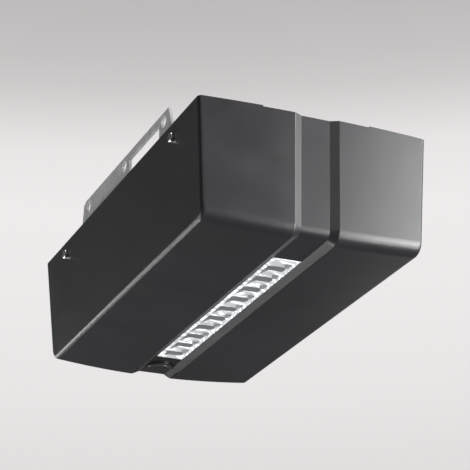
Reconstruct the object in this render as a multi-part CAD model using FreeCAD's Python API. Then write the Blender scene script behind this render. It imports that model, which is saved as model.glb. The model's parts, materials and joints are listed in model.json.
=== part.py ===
import FreeCAD, Part
import math
import os

V = FreeCAD.Vector

# Frame: origin on the output shaft axis, in the plane of the chassis top, where the rail sits.
# +Z up, +Y along the head towards the control flap, +X across. Millimetres.

# Hood
WIDTH = 205.0            # across the top rim
LENGTH = 364.0           # between the rim's corners; the bowed ends stand further out
END_BOW = 4.4            # how far each end bows out at its middle
SIDE_HEIGHT = 100.0      # rim down to the side's lower edge
CROWN = 4.6              # extra depth at the middle of the bottom
SIDE_DRAFT = 5.0         # lean of each side over the side height
END_DRAFT = 9.0          # lean of each end over the side height
END_ROUND = 11.5         # radius between the bottom and the ends
SIDE_ROUND = 3.6         # radius round each side face
WALL = 2.0
BOTTOM = -(SIDE_HEIGHT + CROWN)
RIM_NOTCH_HALF = 48.0    # the near rim is cut back a little over this half width
RIM_NOTCH_DEPTH = 1.0
HOOD_SCREW_Y = 127.0
HOOD_SCREW_Z = -11.7

# Groove that wraps the ends and the bottom
GROOVE_DEPTH = 3.5
GROOVE_FLOOR_HALF = 12.7
GROOVE_TOP_HALF = 20.0
GROOVE_ROUND = 1.2                       # radius along the groove's outer edges
FLOOR_Z = BOTTOM + GROOVE_DEPTH          # outer face of the groove's floor
INNER_FLOOR_Z = FLOOR_Z + WALL
FIT_GAP = 0.2                            # between parts dropped into the groove and its walls

# Light strip in the groove
LIGHT_NEAR = -123.5
LIGHT_FAR = 124.0
CELL_PITCH = 23.9
FIRST_DIVIDER = -101.7
DIVIDER_COUNT = 10
TRAY_HALF = 16.0
TRAY_TOP = -84.0

# Display window and control flap
DISPLAY_FAR = 150.5                      # the flap's walls begin here
TONGUE_RADIUS = 13.4                     # the flap's rounded front
FLAP_GAP = 0.3
FLAP_PIN_Z = -44.0
FLAP_PIN_DEPTH = 5.1                     # pin axis below the groove's outer opening
PIN_RADIUS = 1.25
KNUCKLE_RADIUS = 2.6
HINGE_CLEAR = 14.0                       # walls of hood and flap part on this radius about the pin
FASCIA_LOW = -94.3
FASCIA_TOP = -92.3
KEY_BOARD_LOW = -87.0
BUTTON_GAP = 0.28
DOOR_BUTTON = (0.0, 150.5, 5.0)          # x, y and radius
PROGRAM_BUTTONS = {"program_button_left": (-7.5, 163.0, 3.0), "program_button_right": (7.5, 163.0, 3.0)}

# Chassis
PLATE = 2.0
CHASSIS_HALF_X = 99.0
CHASSIS_HALF_Y = 177.0
FLANGE_DEPTH = 22.0
RAIL_BOLT_X = 30.0
RAIL_BOLT_Y = 55.0
RAIL_HOLE = 3.3

# Suspension brackets
BRACKET_OUT = 97.25
BRACKET_THICK = 2.5
BRACKET_TOP = 26.3
BRACKET_HOLE = 5.25
BRACKET_HOLE_Y = (-98.3, -8.3, 81.7)
BRACKET_HOLE_Z = 18.1
SLOT_NEAR = -88.4
SLOT_FAR = -20.1
SLOT_LOW = 6.5
SLOT_HIGH = 19.5
FOOT_BOLT_X = 80.0
FOOT_BOLT_Y = (-75.0, 50.0)
FOOT_BOLT_RADIUS = 3.0

# Worm drive
MODULE = 2.0
WHEEL_TEETH = 30
WHEEL_PITCH_RADIUS = MODULE * WHEEL_TEETH / 2
WORM_PITCH_RADIUS = 10.0
LEAD = math.pi * MODULE
CENTRES = WHEEL_PITCH_RADIUS + WORM_PITCH_RADIUS
ADDENDUM = 1.8
DEDENDUM = 2.4
TOOTH_HALF = 1.3                         # half a tooth's thickness at the pitch line
FLANK = math.tan(math.radians(20))
WHEEL_HALF_WIDTH = 6.0
WORM_TURNS = 6
DRIVE_Z = -40.0
SHAFT_RADIUS = 6.0
RUNNING = 0.05                           # radial clearance of a shaft in its bush
MOTOR_SHAFT_RADIUS = 4.0
HOUSING = (-38.0, 56.0, -36.0, 46.0, -64.0, -20.0)      # x, y and z limits
BOSS_RADIUS = 13.0
OUTPUT_RADIUS = 7.0

# Motor
CAN_RADIUS = 30.0
CAN_WALL = 2.0
CAN_NEAR = 50.0
CAN_FAR = 140.0
CORE_RADIUS = 20.5
MAGNET_INNER = 21.5

# Power supply and control board
CORE_BOX = (-78.0, -16.0, 62.0, 112.0, -58.0, -8.0)     # x, y and z limits of the transformer core
BOARD = (-80.0, 80.0, -166.0, -60.0)                    # x and y limits
BOARD_LOW = -31.6
BOARD_TOP = -30.0
BOARD_POSTS = [(x, y) for x in (-72, 0, 72) for y in (-158, -68)]
INLET_AT = (-60.0, 150.0)
TERMINALS_AT = (55.0, -142.0)


def box(x0, x1, y0, y1, z0, z1):
    return Part.makeBox(x1 - x0, y1 - y0, z1 - z0, V(x0, y0, z0))


def rod(radius, start, end):
    """Cylinder of this radius from one point to another."""
    start, end = V(*start), V(*end)
    along = end - start
    return Part.makeCylinder(radius, along.Length, start, along)


def ring(outer, inner, start, end):
    return rod(outer, start, end).cut(rod(inner, start, end))


def fuse(*shapes):
    whole = shapes[0].multiFuse(list(shapes[1:])) if len(shapes) > 1 else shapes[0]
    return whole.removeSplitter()


def group(shapes):
    return Part.makeCompound(list(shapes))


def prism(points, along):
    """Straight-sided solid on a closed outline of points."""
    outline = Part.makePolygon([V(*p) for p in points] + [V(*points[0])])
    return Part.Face(outline).extrude(V(*along))


def mirror_x(shape):
    return shape.mirror(V(0, 0, 0), V(1, 0, 0))


def round_edges(shape, radius, chosen):
    return shape.makeFillet(radius, [e for e in shape.Edges if chosen(e)])


# ---- hood outline -------------------------------------------------------------------------

def end_y(z, inset=0.0):
    """Distance of an end's middle from the origin at height z."""
    return LENGTH / 2 + END_BOW + z * END_DRAFT / SIDE_HEIGHT - inset


def side_x(z, inset=0.0):
    return WIDTH / 2 + z * SIDE_DRAFT / SIDE_HEIGHT - inset


def plan_outline(z, inset):
    x = side_x(z, inset)
    end = end_y(z, inset)
    y = end - END_BOW
    corners = [V(x, -y, z), V(x, y, z), V(-x, y, z), V(-x, -y, z)]
    return Part.Wire([
        Part.LineSegment(corners[0], corners[1]).toShape(),
        Part.Arc(corners[1], V(0, end, z), corners[2]).toShape(),
        Part.LineSegment(corners[2], corners[3]).toShape(),
        Part.Arc(corners[3], V(0, -end, z), corners[0]).toShape(),
    ])


def crown_prism(inset):
    """Everything above the crowned bottom, as one long solid."""
    reach = WIDTH / 2
    edge_z = -SIDE_HEIGHT + inset
    far = LENGTH
    left, right = V(-reach, -far, edge_z), V(reach, -far, edge_z)
    arc = Part.Arc(left, V(0, -far, BOTTOM + inset), right).toShape()
    lid = 20
    up = [V(reach, -far, lid), V(-reach, -far, lid)]
    sides = Part.makePolygon([right] + up + [left]).Edges
    return Part.Face(Part.Wire([arc] + sides)).extrude(V(0, 2 * far, 0))


def hood_block(inset, rise):
    """Solid with the hood's outside shape, moved in by inset, and open-topped by rise."""
    low = BOTTOM - 10
    walls = Part.makeLoft([plan_outline(rise, inset), plan_outline(low, inset)], True, True)
    block = walls.common(crown_prism(inset))

    def middle(edge):
        return edge.valueAt((edge.FirstParameter + edge.LastParameter) / 2)

    def end_bottom(edge):
        at = middle(edge)
        return abs(at.x) < 1 and abs(at.y) > LENGTH / 3 and at.z < -SIDE_HEIGHT / 2

    block = round_edges(block, END_ROUND - inset, end_bottom)

    def round_side(edge):
        ends = [v.Point for v in edge.Vertexes] + [middle(edge)]
        on_side = all(abs(abs(p.x) - side_x(p.z, inset)) < 0.05 for p in ends)
        return on_side and not all(abs(p.z - rise) < 0.01 for p in ends)

    return round_edges(block, SIDE_ROUND - inset, round_side)


def groove_path():
    """The groove's course at the middle of the hood: down one end, along, and up the other."""
    top, low = 8.0, BOTTOM
    corners = [V(0, -end_y(top), top), V(0, -end_y(low), low), V(0, end_y(low), low), V(0, end_y(top), top)]
    edges = []
    start = corners[0]
    for before, corner, after in zip(corners, corners[1:], corners[2:]):
        back = (before - corner).normalize()
        on = (after - corner).normalize()
        half = back.getAngle(on) / 2
        reach = END_ROUND / math.tan(half)
        centre = corner + (back + on).normalize() * (END_ROUND / math.sin(half))
        first, last = corner + back * reach, corner + on * reach
        mid = centre + (corner - centre).normalize() * END_ROUND
        edges += [Part.LineSegment(start, first).toShape(), Part.Arc(first, mid, last).toShape()]
        start = last
    edges.append(Part.LineSegment(start, corners[-1]).toShape())
    return Part.Wire(edges)


def groove_sweep(section):
    """Sweep a section of (x, depth) points along the groove."""
    path = groove_path()
    start = path.Edges[0].valueAt(path.Edges[0].FirstParameter)
    along = path.Edges[0].tangentAt(path.Edges[0].FirstParameter)
    inward = V(1, 0, 0).cross(along)
    if inward.y < 0:
        inward = inward * -1
    points = [start + V(x, 0, 0) + inward * depth for x, depth in section]
    outline = Part.makePolygon(points + [points[0]])
    return path.makePipeShell([outline], True, False)


def groove_section(deeper, lift):
    """Trapezoid of the groove, its walls moved out by deeper and carried lift past the surface."""
    slope = (GROOVE_TOP_HALF - GROOVE_FLOOR_HALF) / GROOVE_DEPTH
    angle = math.atan2(GROOVE_DEPTH, GROOVE_TOP_HALF - GROOVE_FLOOR_HALF)
    floor = GROOVE_FLOOR_HALF + deeper * math.tan(angle / 2)
    depth = GROOVE_DEPTH + deeper
    top = floor + slope * (depth + lift)
    return [(-top, -lift), (-floor, depth), (floor, depth), (top, -lift)]


def trough_section(thickness):
    outer = groove_section(0, 1.0)
    inner = groove_section(thickness, 1.0)
    return outer + inner[::-1]


def flap_pin():
    """Middle of the flap's hinge pin."""
    lean = math.atan2(END_DRAFT, SIDE_HEIGHT)
    return V(0, end_y(FLAP_PIN_Z) - FLAP_PIN_DEPTH / math.cos(lean), FLAP_PIN_Z)


def about_pin(radius, half_length):
    y, z = flap_pin().y, flap_pin().z
    return rod(radius, (-half_length, y, z), (half_length, y, z))


def hood_screw_axis(side, y):
    return V(side * side_x(HOOD_SCREW_Z), y, HOOD_SCREW_Z)


def hood_screw_places():
    return [(side, y) for side in (-1, 1) for y in (-HOOD_SCREW_Y, HOOD_SCREW_Y)]


def hood_outside():
    """The hood's outside with its groove, the groove's outer edges rounded."""
    outside = hood_block(0, 0).cut(groove_sweep(groove_section(0, 3)))

    def groove_edge(edge):
        span = edge.LastParameter - edge.FirstParameter
        across = [edge.valueAt(edge.FirstParameter + span * part).x for part in (0.1, 0.5, 0.9)]
        straight = max(across) - min(across) < 0.6
        return straight and all(abs(abs(x) - GROOVE_TOP_HALF) < 1.5 for x in across)

    return round_edges(outside, GROOVE_ROUND, groove_edge)


# ---- hood and what sits in its groove --------------------------------------------------------

def hood():
    outside = hood_outside()
    inside = hood_block(WALL, 2).cut(groove_sweep(groove_section(WALL, 3)))
    shell = outside.cut(inside)
    pin = flap_pin()
    for side in (-1, 1):
        near, far = sorted((side * (GROOVE_FLOOR_HALF + 0.3), side * 18.0))
        lug = box(near, far, pin.y - 4, pin.y + 6, pin.z - 4, pin.z + 4)
        shell = shell.fuse(lug.common(outside))
    half = GROOVE_FLOOR_HALF
    shell = shell.cut(box(-half, half, LIGHT_NEAR, DISPLAY_FAR, FLOOR_Z - 1, INNER_FLOOR_Z + 3))
    wide = box(-GROOVE_TOP_HALF, GROOVE_TOP_HALF, DISPLAY_FAR, LENGTH, 2 * BOTTOM, pin.z)
    shell = shell.cut(wide.cut(about_pin(HINGE_CLEAR - FLAP_GAP / 2, 60)))
    tongue_slot = box(-half, half, DISPLAY_FAR, LENGTH, 2 * BOTTOM, pin.z + KNUCKLE_RADIUS + FLAP_GAP)
    shell = shell.cut(tongue_slot).cut(about_pin(PIN_RADIUS, 60))
    notch = box(-RIM_NOTCH_HALF, RIM_NOTCH_HALF, -LENGTH, -LENGTH / 3, -RIM_NOTCH_DEPTH, 1)
    shell = shell.cut(notch)
    for side, y in hood_screw_places():
        shell = shell.cut(rod(2.2, (side * 90, y, HOOD_SCREW_Z), (side * 110, y, HOOD_SCREW_Z)))
    return shell.removeSplitter()


def light_lens():
    half = GROOVE_FLOOR_HALF - FIT_GAP
    window = box(-half, half, LIGHT_NEAR + FIT_GAP, LIGHT_FAR, FLOOR_Z, INNER_FLOOR_Z)
    flange = box(-half - 3, half + 3, LIGHT_NEAR - 2, LIGHT_FAR, INNER_FLOOR_Z, INNER_FLOOR_Z + 1.2)
    return fuse(window, flange.common(light_space()))


def light_space():
    """Room above the groove's floor, inside its sloped inner walls."""
    return box(-TRAY_HALF, TRAY_HALF, LIGHT_NEAR - 3, LIGHT_FAR, INNER_FLOOR_Z, TRAY_TOP)


def divider_places():
    return [FIRST_DIVIDER + CELL_PITCH * n for n in range(DIVIDER_COUNT)]


def light_reflector():
    low = INNER_FLOOR_Z + 1.2
    wall = 1.2
    near, far = LIGHT_NEAR - 3, LIGHT_FAR
    tray = box(-TRAY_HALF, TRAY_HALF, near, far, low, TRAY_TOP)
    tray = tray.cut(box(-TRAY_HALF + wall, TRAY_HALF - wall, near + wall, far - wall, low, TRAY_TOP))
    inner = TRAY_HALF - wall
    ribs = []
    for y in divider_places():
        foot, tip = 1.6, 0.5
        outline = [(-inner, y - foot, TRAY_TOP), (-inner, y + foot, TRAY_TOP),
                   (-inner, y + tip, low + 1), (-inner, y - tip, low + 1)]
        ribs.append(prism(outline, (2 * inner, 0, 0)))
    return fuse(tray, *ribs)


def cell_middles():
    edges = [LIGHT_NEAR - 2] + divider_places() + [LIGHT_FAR]
    return [(a + b) / 2 for a, b in zip(edges, edges[1:])]


def led_board():
    return box(-TRAY_HALF, TRAY_HALF, LIGHT_NEAR - 3, LIGHT_FAR, TRAY_TOP, TRAY_TOP + 1.6)


def led_emitters():
    return group(box(-2.5, 2.5, y - 2.5, y + 2.5, TRAY_TOP - 1.4, TRAY_TOP) for y in cell_middles())


def tongue(radius, low, high):
    """Rounded front of the flap, and the straight part behind it."""
    round_end = rod(radius, (0, DISPLAY_FAR, low), (0, DISPLAY_FAR, high))
    half = GROOVE_FLOOR_HALF - FLAP_GAP
    limits = box(-half, half, DISPLAY_FAR - radius, DISPLAY_FAR + 1, low, high)
    return round_end.common(limits)


def display_window():
    half = GROOVE_FLOOR_HALF - FIT_GAP
    panel = box(-half, half, LIGHT_FAR + FIT_GAP, DISPLAY_FAR - FIT_GAP, FLOOR_Z, INNER_FLOOR_Z)
    clear = rod(TONGUE_RADIUS + FLAP_GAP, (0, DISPLAY_FAR, FLOOR_Z - 1), (0, DISPLAY_FAR, INNER_FLOOR_Z + 1))
    panel = panel.cut(clear)
    return max(panel.Solids, key=lambda s: s.Volume)


def display_module():
    case = box(-11, 11, LIGHT_FAR + 0.5, 136.0, INNER_FLOOR_Z, KEY_BOARD_LOW)
    digits = [box(x, x + 6, 128.5, 135.0, INNER_FLOOR_Z, INNER_FLOOR_Z + 0.4) for x in (-8, 2)]
    for digit in digits:
        case = case.cut(digit)
    return case


def control_flap():
    trough = groove_sweep(trough_section(WALL))
    trim = GROOVE_TOP_HALF - GROOVE_ROUND
    half = GROOVE_FLOOR_HALF - FLAP_GAP
    pin = flap_pin()
    wide = box(-trim, trim, DISPLAY_FAR + FLAP_GAP, LENGTH, 2 * BOTTOM, pin.z)
    wide = wide.cut(about_pin(HINGE_CLEAR + FLAP_GAP / 2, 60))
    middle = box(-half, half, DISPLAY_FAR, LENGTH, 2 * BOTTOM, pin.z)
    cover = trough.common(wide.fuse(middle))
    front = tongue(TONGUE_RADIUS, FLOOR_Z, INNER_FLOOR_Z)
    lip = tongue(TONGUE_RADIUS, FLOOR_Z - 1.6, FLOOR_Z).cut(
        rod(TONGUE_RADIUS - 2.2, (0, DISPLAY_FAR + 3, BOTTOM), (0, DISPLAY_FAR + 3, FLOOR_Z)))
    lip = lip.common(box(-half, half, 0, DISPLAY_FAR, BOTTOM, FLOOR_Z))
    knuckle = about_pin(KNUCKLE_RADIUS, half)
    whole = fuse(cover, front, lip, knuckle)
    return whole.cut(about_pin(PIN_RADIUS + RUNNING, 60))


def flap_hinge_pin():
    return about_pin(PIN_RADIUS, 17.5)


# ---- controls behind the flap ------------------------------------------------------------------

def button_places():
    return [DOOR_BUTTON] + list(PROGRAM_BUTTONS.values())


def control_fascia():
    panel = box(-24, 24, 138.5, 170.5, FASCIA_LOW, FASCIA_TOP)
    legs = [box(low, high, 138.5, 166.0, BOTTOM + WALL + 0.5, FASCIA_LOW)
            for low, high in ((-24, -22.2), (22.2, 24))]
    posts = [rod(2, (x, y, FASCIA_TOP), (x, y, KEY_BOARD_LOW)) for x in (-20, 20) for y in (142, 167)]
    body = fuse(panel, *legs, *posts)
    for x, y, radius in button_places():
        body = body.cut(rod(radius + BUTTON_GAP, (x, y, FASCIA_LOW - 1), (x, y, FASCIA_TOP + 1)))
    return body


def button(place):
    x, y, radius = place
    cap = rod(radius, (x, y, FASCIA_LOW - 1.8), (x, y, FASCIA_TOP + 0.1))
    cap = round_edges(cap, 0.5, lambda e: e.BoundBox.ZMax < FASCIA_LOW - 1.5 and e.BoundBox.XLength > 1)
    collar = rod(radius + 1.3, (x, y, FASCIA_TOP + 0.1), (x, y, FASCIA_TOP + 1.5))
    return fuse(cap, collar)


def key_board():
    return box(-22, 22, LIGHT_FAR + 1, 170.5, KEY_BOARD_LOW, KEY_BOARD_LOW + 1.6)


def key_switches():
    switches = []
    for x, y, _ in button_places():
        case = box(x - 3, x + 3, y - 3, y + 3, KEY_BOARD_LOW - 1.6, KEY_BOARD_LOW)
        plunger = rod(1.5, (x, y, KEY_BOARD_LOW - 2.2), (x, y, KEY_BOARD_LOW - 1.6))
        switches.append(fuse(case, plunger))
    return group(switches)


# ---- chassis and suspension ---------------------------------------------------------------------

def rail_bolt_places():
    return [(x, y) for x in (-RAIL_BOLT_X, RAIL_BOLT_X) for y in (-RAIL_BOLT_Y, RAIL_BOLT_Y)]


def foot_bolt_places():
    return [(x, y) for x in (-FOOT_BOLT_X, FOOT_BOLT_X) for y in FOOT_BOLT_Y]


def chassis_plate():
    x, y = CHASSIS_HALF_X, CHASSIS_HALF_Y
    plate = box(-x, x, -y, y, -PLATE, 0)
    side = box(x - PLATE, x, -y + 6, y - 6, -FLANGE_DEPTH, 0)
    end = box(-x + 8, x - 8, y - PLATE, y, -FLANGE_DEPTH / 2, 0)
    body = fuse(plate, side, mirror_x(side), end, end.mirror(V(0, 0, 0), V(0, 1, 0)))
    body = body.cut(rod(BOSS_RADIUS + 0.3, (0, 0, -PLATE), (0, 0, 0)))
    for at in rail_bolt_places():
        body = body.cut(rod(RAIL_HOLE, (*at, -PLATE), (*at, 0)))
    for at in foot_bolt_places():
        body = body.cut(rod(FOOT_BOLT_RADIUS, (*at, -PLATE), (*at, 0)))
    for at_x, at_y in housing_screw_places():
        body = body.cut(rod(2.5, (at_x, at_y, -PLATE), (at_x, at_y, 0)))
    for side, at_y in hood_screw_places():
        body = body.cut(rod(2.0, (side * 90, at_y, HOOD_SCREW_Z), (side * 104, at_y, HOOD_SCREW_Z)))
    inlet_x, inlet_y = INLET_AT
    body = body.cut(box(inlet_x - 13.5, inlet_x + 13.5, inlet_y - 9.8, inlet_y + 9.8, -PLATE, 0))
    return body.removeSplitter()


def chassis_nuts():
    """Weld nuts under the chassis for the rail bolts and the bracket bolts."""
    nuts = []
    for places, hole in ((rail_bolt_places(), RAIL_HOLE), (foot_bolt_places(), FOOT_BOLT_RADIUS)):
        for x, y in places:
            nut = hexagon(5.0, (x, y, -PLATE - 5), (x, y, -PLATE))
            nuts.append(nut.cut(rod(hole, (x, y, -PLATE - 5), (x, y, -PLATE))))
    return group(nuts)


def hexagon(flat, start, end):
    """Hexagonal prism along Z, flat being half its width across flats."""
    x, y, z = start
    corner = flat / math.cos(math.pi / 6)
    turns = [math.pi / 3 * n for n in range(6)]
    return prism([(x + corner * math.cos(t), y + corner * math.sin(t), z) for t in turns], (0, 0, end[2] - z))


def bracket_left():
    x0, x1 = -BRACKET_OUT, -BRACKET_OUT + BRACKET_THICK
    outline = [(-118.5, 0), (-108.7, BRACKET_TOP), (87, BRACKET_TOP), (93, BRACKET_TOP - 2.5), (98, 0)]
    web = prism([(x0, y, z) for y, z in outline], (BRACKET_THICK, 0, 0))
    foot = box(x1, -66, -110, 90, 0, BRACKET_THICK)
    body = fuse(web, foot)
    for y in BRACKET_HOLE_Y:
        body = body.cut(rod(BRACKET_HOLE, (x0 - 1, y, BRACKET_HOLE_Z), (x1 + 1, y, BRACKET_HOLE_Z)))
    slot = box(x0 - 1, x1 + 1, SLOT_NEAR, SLOT_FAR, SLOT_LOW, SLOT_HIGH)
    slot = round_edges(slot, 1.5, lambda e: e.BoundBox.XLength > BRACKET_THICK)
    body = body.cut(slot)
    for y in FOOT_BOLT_Y:
        body = body.cut(rod(FOOT_BOLT_RADIUS, (-FOOT_BOLT_X, y, 0), (-FOOT_BOLT_X, y, BRACKET_THICK)))
    return body


def bracket_bolts():
    bolts = []
    for x, y in foot_bolt_places():
        shank = rod(FOOT_BOLT_RADIUS, (x, y, -PLATE - 8), (x, y, BRACKET_THICK))
        head = hexagon(5.0, (x, y, BRACKET_THICK), (x, y, BRACKET_THICK + 4))
        bolts.append(fuse(shank, head))
    return group(bolts)


def hood_screws():
    screws = []
    for side, y in hood_screw_places():
        seat = side_x(HOOD_SCREW_Z) + 0.25
        shank = rod(2.0, (side * 92, y, HOOD_SCREW_Z), (side * seat, y, HOOD_SCREW_Z))
        head = rod(4.0, (side * seat, y, HOOD_SCREW_Z), (side * (seat + 2.6), y, HOOD_SCREW_Z))
        head = round_edges(head, 1.2, lambda e: abs(e.BoundBox.XMin - side * (seat + 2.6)) < 0.01
                           and e.BoundBox.XLength < 0.01)
        recess = fuse(box(-6, 6, y - 2.2, y + 2.2, HOOD_SCREW_Z - 0.45, HOOD_SCREW_Z + 0.45),
                      box(-6, 6, y - 0.45, y + 0.45, HOOD_SCREW_Z - 2.2, HOOD_SCREW_Z + 2.2))
        recess.translate(V(side * (seat + 1.1 + 6), 0, 0))
        screws.append(fuse(shank, head).cut(recess))
    return group(screws)


def hood_clip_nuts():
    """Nuts riveted behind the chassis flanges for the hood screws."""
    nuts = []
    for side, y in hood_screw_places():
        inner = side * (CHASSIS_HALF_X - PLATE)
        away = side * (CHASSIS_HALF_X - PLATE - 4)
        nut = box(min(inner, away), max(inner, away), y - 5, y + 5, HOOD_SCREW_Z - 5, HOOD_SCREW_Z + 5)
        nuts.append(nut.cut(rod(2.0, (away, y, HOOD_SCREW_Z), (inner, y, HOOD_SCREW_Z))))
    return group(nuts)


# ---- worm drive ----------------------------------------------------------------------------------

def housing_screw_places():
    x0, x1, y0, y1 = HOUSING[:4]
    return [(x0 + 5, y0 + 5), (x0 + 5, y1 - 5), (x1 - 5, y0 + 5), (x1 - 5, y1 - 5)]


def gear_case():
    """Housing and cover together, with their chambers and bores."""
    x0, x1, y0, y1, z0, z1 = HOUSING
    block = box(x0, x1, y0, y1, z0, z1)
    block = round_edges(block, 5, lambda e: e.BoundBox.ZLength > 10)
    boss = rod(BOSS_RADIUS, (0, 0, z1 - 1), (0, 0, 0))
    posts = [rod(5, (x, y, z1 - 1), (x, y, -PLATE)) for x, y in housing_screw_places()]
    case = fuse(block, boss, *posts)
    wheel_room = rod(WHEEL_PITCH_RADIUS + 3.5, (0, 0, DRIVE_Z - 7), (0, 0, DRIVE_Z + 7))
    worm_room = rod(WORM_PITCH_RADIUS + 3.5, (CENTRES, -25, DRIVE_Z), (CENTRES, 25, DRIVE_Z))
    upper_bush = rod(9, (0, 0, -14), (0, 0, 0))
    lower_bush = rod(9, (0, 0, z0), (0, 0, z0 + 12))
    shaft_hole = rod(SHAFT_RADIUS + 1.5, (0, 0, z0), (0, 0, 0))
    worm_bush = rod(8, (CENTRES, y0, DRIVE_Z), (CENTRES, y0 + 8, DRIVE_Z))
    worm_hole = rod(MOTOR_SHAFT_RADIUS + 1.5, (CENTRES, y0, DRIVE_Z), (CENTRES, y1, DRIVE_Z))
    for cavity in (wheel_room, worm_room, upper_bush, lower_bush, shaft_hole, worm_bush, worm_hole):
        case = case.cut(cavity)
    for x, y in housing_screw_places():
        case = case.cut(rod(2.5, (x, y, z0), (x, y, 0)))
    for start, end in motor_screw_lines():
        case = case.cut(rod(2.0, start, end))
    return case


def gear_housing():
    return gear_case().common(box(-90, 90, -90, 90, DRIVE_Z, 5))


def gear_cover():
    return gear_case().common(box(-90, 90, -90, 90, -90, DRIVE_Z))


def housing_screws():
    low = HOUSING[4]
    screws = []
    for x, y in housing_screw_places():
        shank = rod(2.5, (x, y, low), (x, y, -0.3))
        head = rod(4.5, (x, y, low - 3.5), (x, y, low))
        screws.append(fuse(shank, head).cut(hexagon(2.0, (x, y, low - 3.5), (x, y, low - 1.5))))
    return group(screws)


def wheel_outline(z, turn):
    """The worm wheel's toothed outline at height z, turned by an angle in radians."""
    points = []
    root, tip = WHEEL_PITCH_RADIUS - DEDENDUM, WHEEL_PITCH_RADIUS + ADDENDUM
    low_half, high_half = TOOTH_HALF + DEDENDUM * FLANK, TOOTH_HALF - ADDENDUM * FLANK
    for n in range(WHEEL_TEETH):
        middle = 2 * math.pi * n / WHEEL_TEETH + turn
        for radius, half in ((root, -low_half), (tip, -high_half), (tip, high_half), (root, low_half)):
            angle = middle + half / radius
            points.append(V(radius * math.cos(angle), radius * math.sin(angle), z))
    return Part.makePolygon(points + [points[0]])


def worm_wheel():
    twist = LEAD / (2 * math.pi * WORM_PITCH_RADIUS) * WHEEL_HALF_WIDTH / WHEEL_PITCH_RADIUS
    low, high = DRIVE_Z - WHEEL_HALF_WIDTH, DRIVE_Z + WHEEL_HALF_WIDTH
    rim = Part.makeLoft([wheel_outline(low, -twist), wheel_outline(high, twist)], True, True)
    for z0, z1 in ((low - 1, low + 3.5), (high - 3.5, high + 1)):
        rim = rim.cut(ring(23, 12, (0, 0, z0), (0, 0, z1)))
    for n in range(6):
        angle = math.pi / 3 * n
        x, y = 17.5 * math.cos(angle), 17.5 * math.sin(angle)
        rim = rim.cut(rod(3.5, (x, y, low), (x, y, high)))
    return rim.cut(rod(SHAFT_RADIUS, (0, 0, low), (0, 0, high)))


def spline(z0, z1):
    points = []
    for n in range(12):
        middle = math.pi / 6 * n
        for radius, half in ((5.6, -0.17), (OUTPUT_RADIUS, -0.1), (OUTPUT_RADIUS, 0.1), (5.6, 0.17)):
            points.append((radius * math.cos(middle + half), radius * math.sin(middle + half), z0))
    return prism(points, (0, 0, z1 - z0))


def output_shaft():
    low = HOUSING[4] - 3
    shaft = rod(SHAFT_RADIUS, (0, 0, low), (0, 0, 1))
    journal = rod(OUTPUT_RADIUS, (0, 0, 1), (0, 0, 11))
    body = fuse(shaft, journal, spline(11, 27))
    groove = ring(SHAFT_RADIUS + 1, SHAFT_RADIUS - 0.8, (0, 0, low + 1), (0, 0, low + 2.3))
    return body.cut(groove)


def shaft_circlip():
    low = HOUSING[4] - 3
    clip = ring(8.2, SHAFT_RADIUS - 0.8, (0, 0, low + 1), (0, 0, low + 2.3))
    return clip.cut(box(0, 12, -1.6, 1.6, low, low + 3))


def shaft_bush(z0, z1):
    return ring(9, SHAFT_RADIUS + RUNNING, (0, 0, z0), (0, 0, z1))


def worm():
    start = -WORM_TURNS * LEAD / 2
    helix = Part.makeHelix(LEAD, WORM_TURNS * LEAD, WORM_PITCH_RADIUS)
    tip = WORM_PITCH_RADIUS + ADDENDUM
    root = WORM_PITCH_RADIUS - DEDENDUM
    low_half, high_half = TOOTH_HALF + (DEDENDUM + 0.3) * FLANK, TOOTH_HALF - ADDENDUM * FLANK
    outline = Part.makePolygon([V(root - 0.3, 0, -low_half), V(tip, 0, -high_half), V(tip, 0, high_half),
                                V(root - 0.3, 0, low_half), V(root - 0.3, 0, -low_half)])
    thread = Part.Wire(helix.Edges).makePipeShell([outline], True, True)
    core = Part.makeCylinder(root, WORM_TURNS * LEAD + 6, V(0, 0, -3))
    body = core.fuse(thread).cut(Part.makeCylinder(MOTOR_SHAFT_RADIUS, 100, V(0, 0, -20)))
    body.rotate(V(0, 0, 0), V(1, 0, 0), -90)
    body.translate(V(CENTRES, start, DRIVE_Z))
    return body


# ---- motor ----------------------------------------------------------------------------------------

def on_motor(y):
    return (CENTRES, y, DRIVE_Z)


def motor_tube(outer, inner, y0, y1):
    return ring(outer, inner, on_motor(y0), on_motor(y1))


def motor_screw_lines():
    return [((CENTRES, 38, DRIVE_Z + dz), (CENTRES, 50, DRIVE_Z + dz)) for dz in (-15, 15)]


def motor_shaft():
    return rod(MOTOR_SHAFT_RADIUS, on_motor(-35), on_motor(154))


def motor_can():
    return motor_tube(CAN_RADIUS, CAN_RADIUS - CAN_WALL, CAN_NEAR, CAN_FAR)


def motor_front_cap():
    cap = motor_tube(CAN_RADIUS, 8, CAN_NEAR - 4, CAN_NEAR)
    for start, end in motor_screw_lines():
        cap = cap.cut(rod(2.0, start, end))
    return cap


def motor_rear_cap():
    cap = motor_tube(CAN_RADIUS, 8, CAN_FAR, CAN_FAR + 5)
    boss = motor_tube(12, 8, CAN_FAR + 5, CAN_FAR + 7)
    return fuse(cap, boss)


def motor_bush(y0, y1):
    return motor_tube(8, MOTOR_SHAFT_RADIUS + RUNNING, y0, y1)


def motor_screws():
    screws = []
    for start, end in motor_screw_lines():
        shank = rod(2.0, start, end)
        head = rod(3.5, end, (end[0], end[1] + 2.4, end[2]))
        screws.append(fuse(shank, head))
    return group(screws)


def motor_magnets():
    magnets = []
    for side in (-1, 1):
        arc = motor_tube(CAN_RADIUS - CAN_WALL, MAGNET_INNER, 58, 126)
        gap = 11
        keep = box(CENTRES + min(0, side * 40), CENTRES + max(0, side * 40), 50, 130,
                   DRIVE_Z - 40, DRIVE_Z + 40)
        middle = box(CENTRES - gap, CENTRES + gap, 50, 130, DRIVE_Z - 40, DRIVE_Z + 40)
        magnets.append(arc.common(keep).cut(middle))
    return group(magnets)


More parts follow.
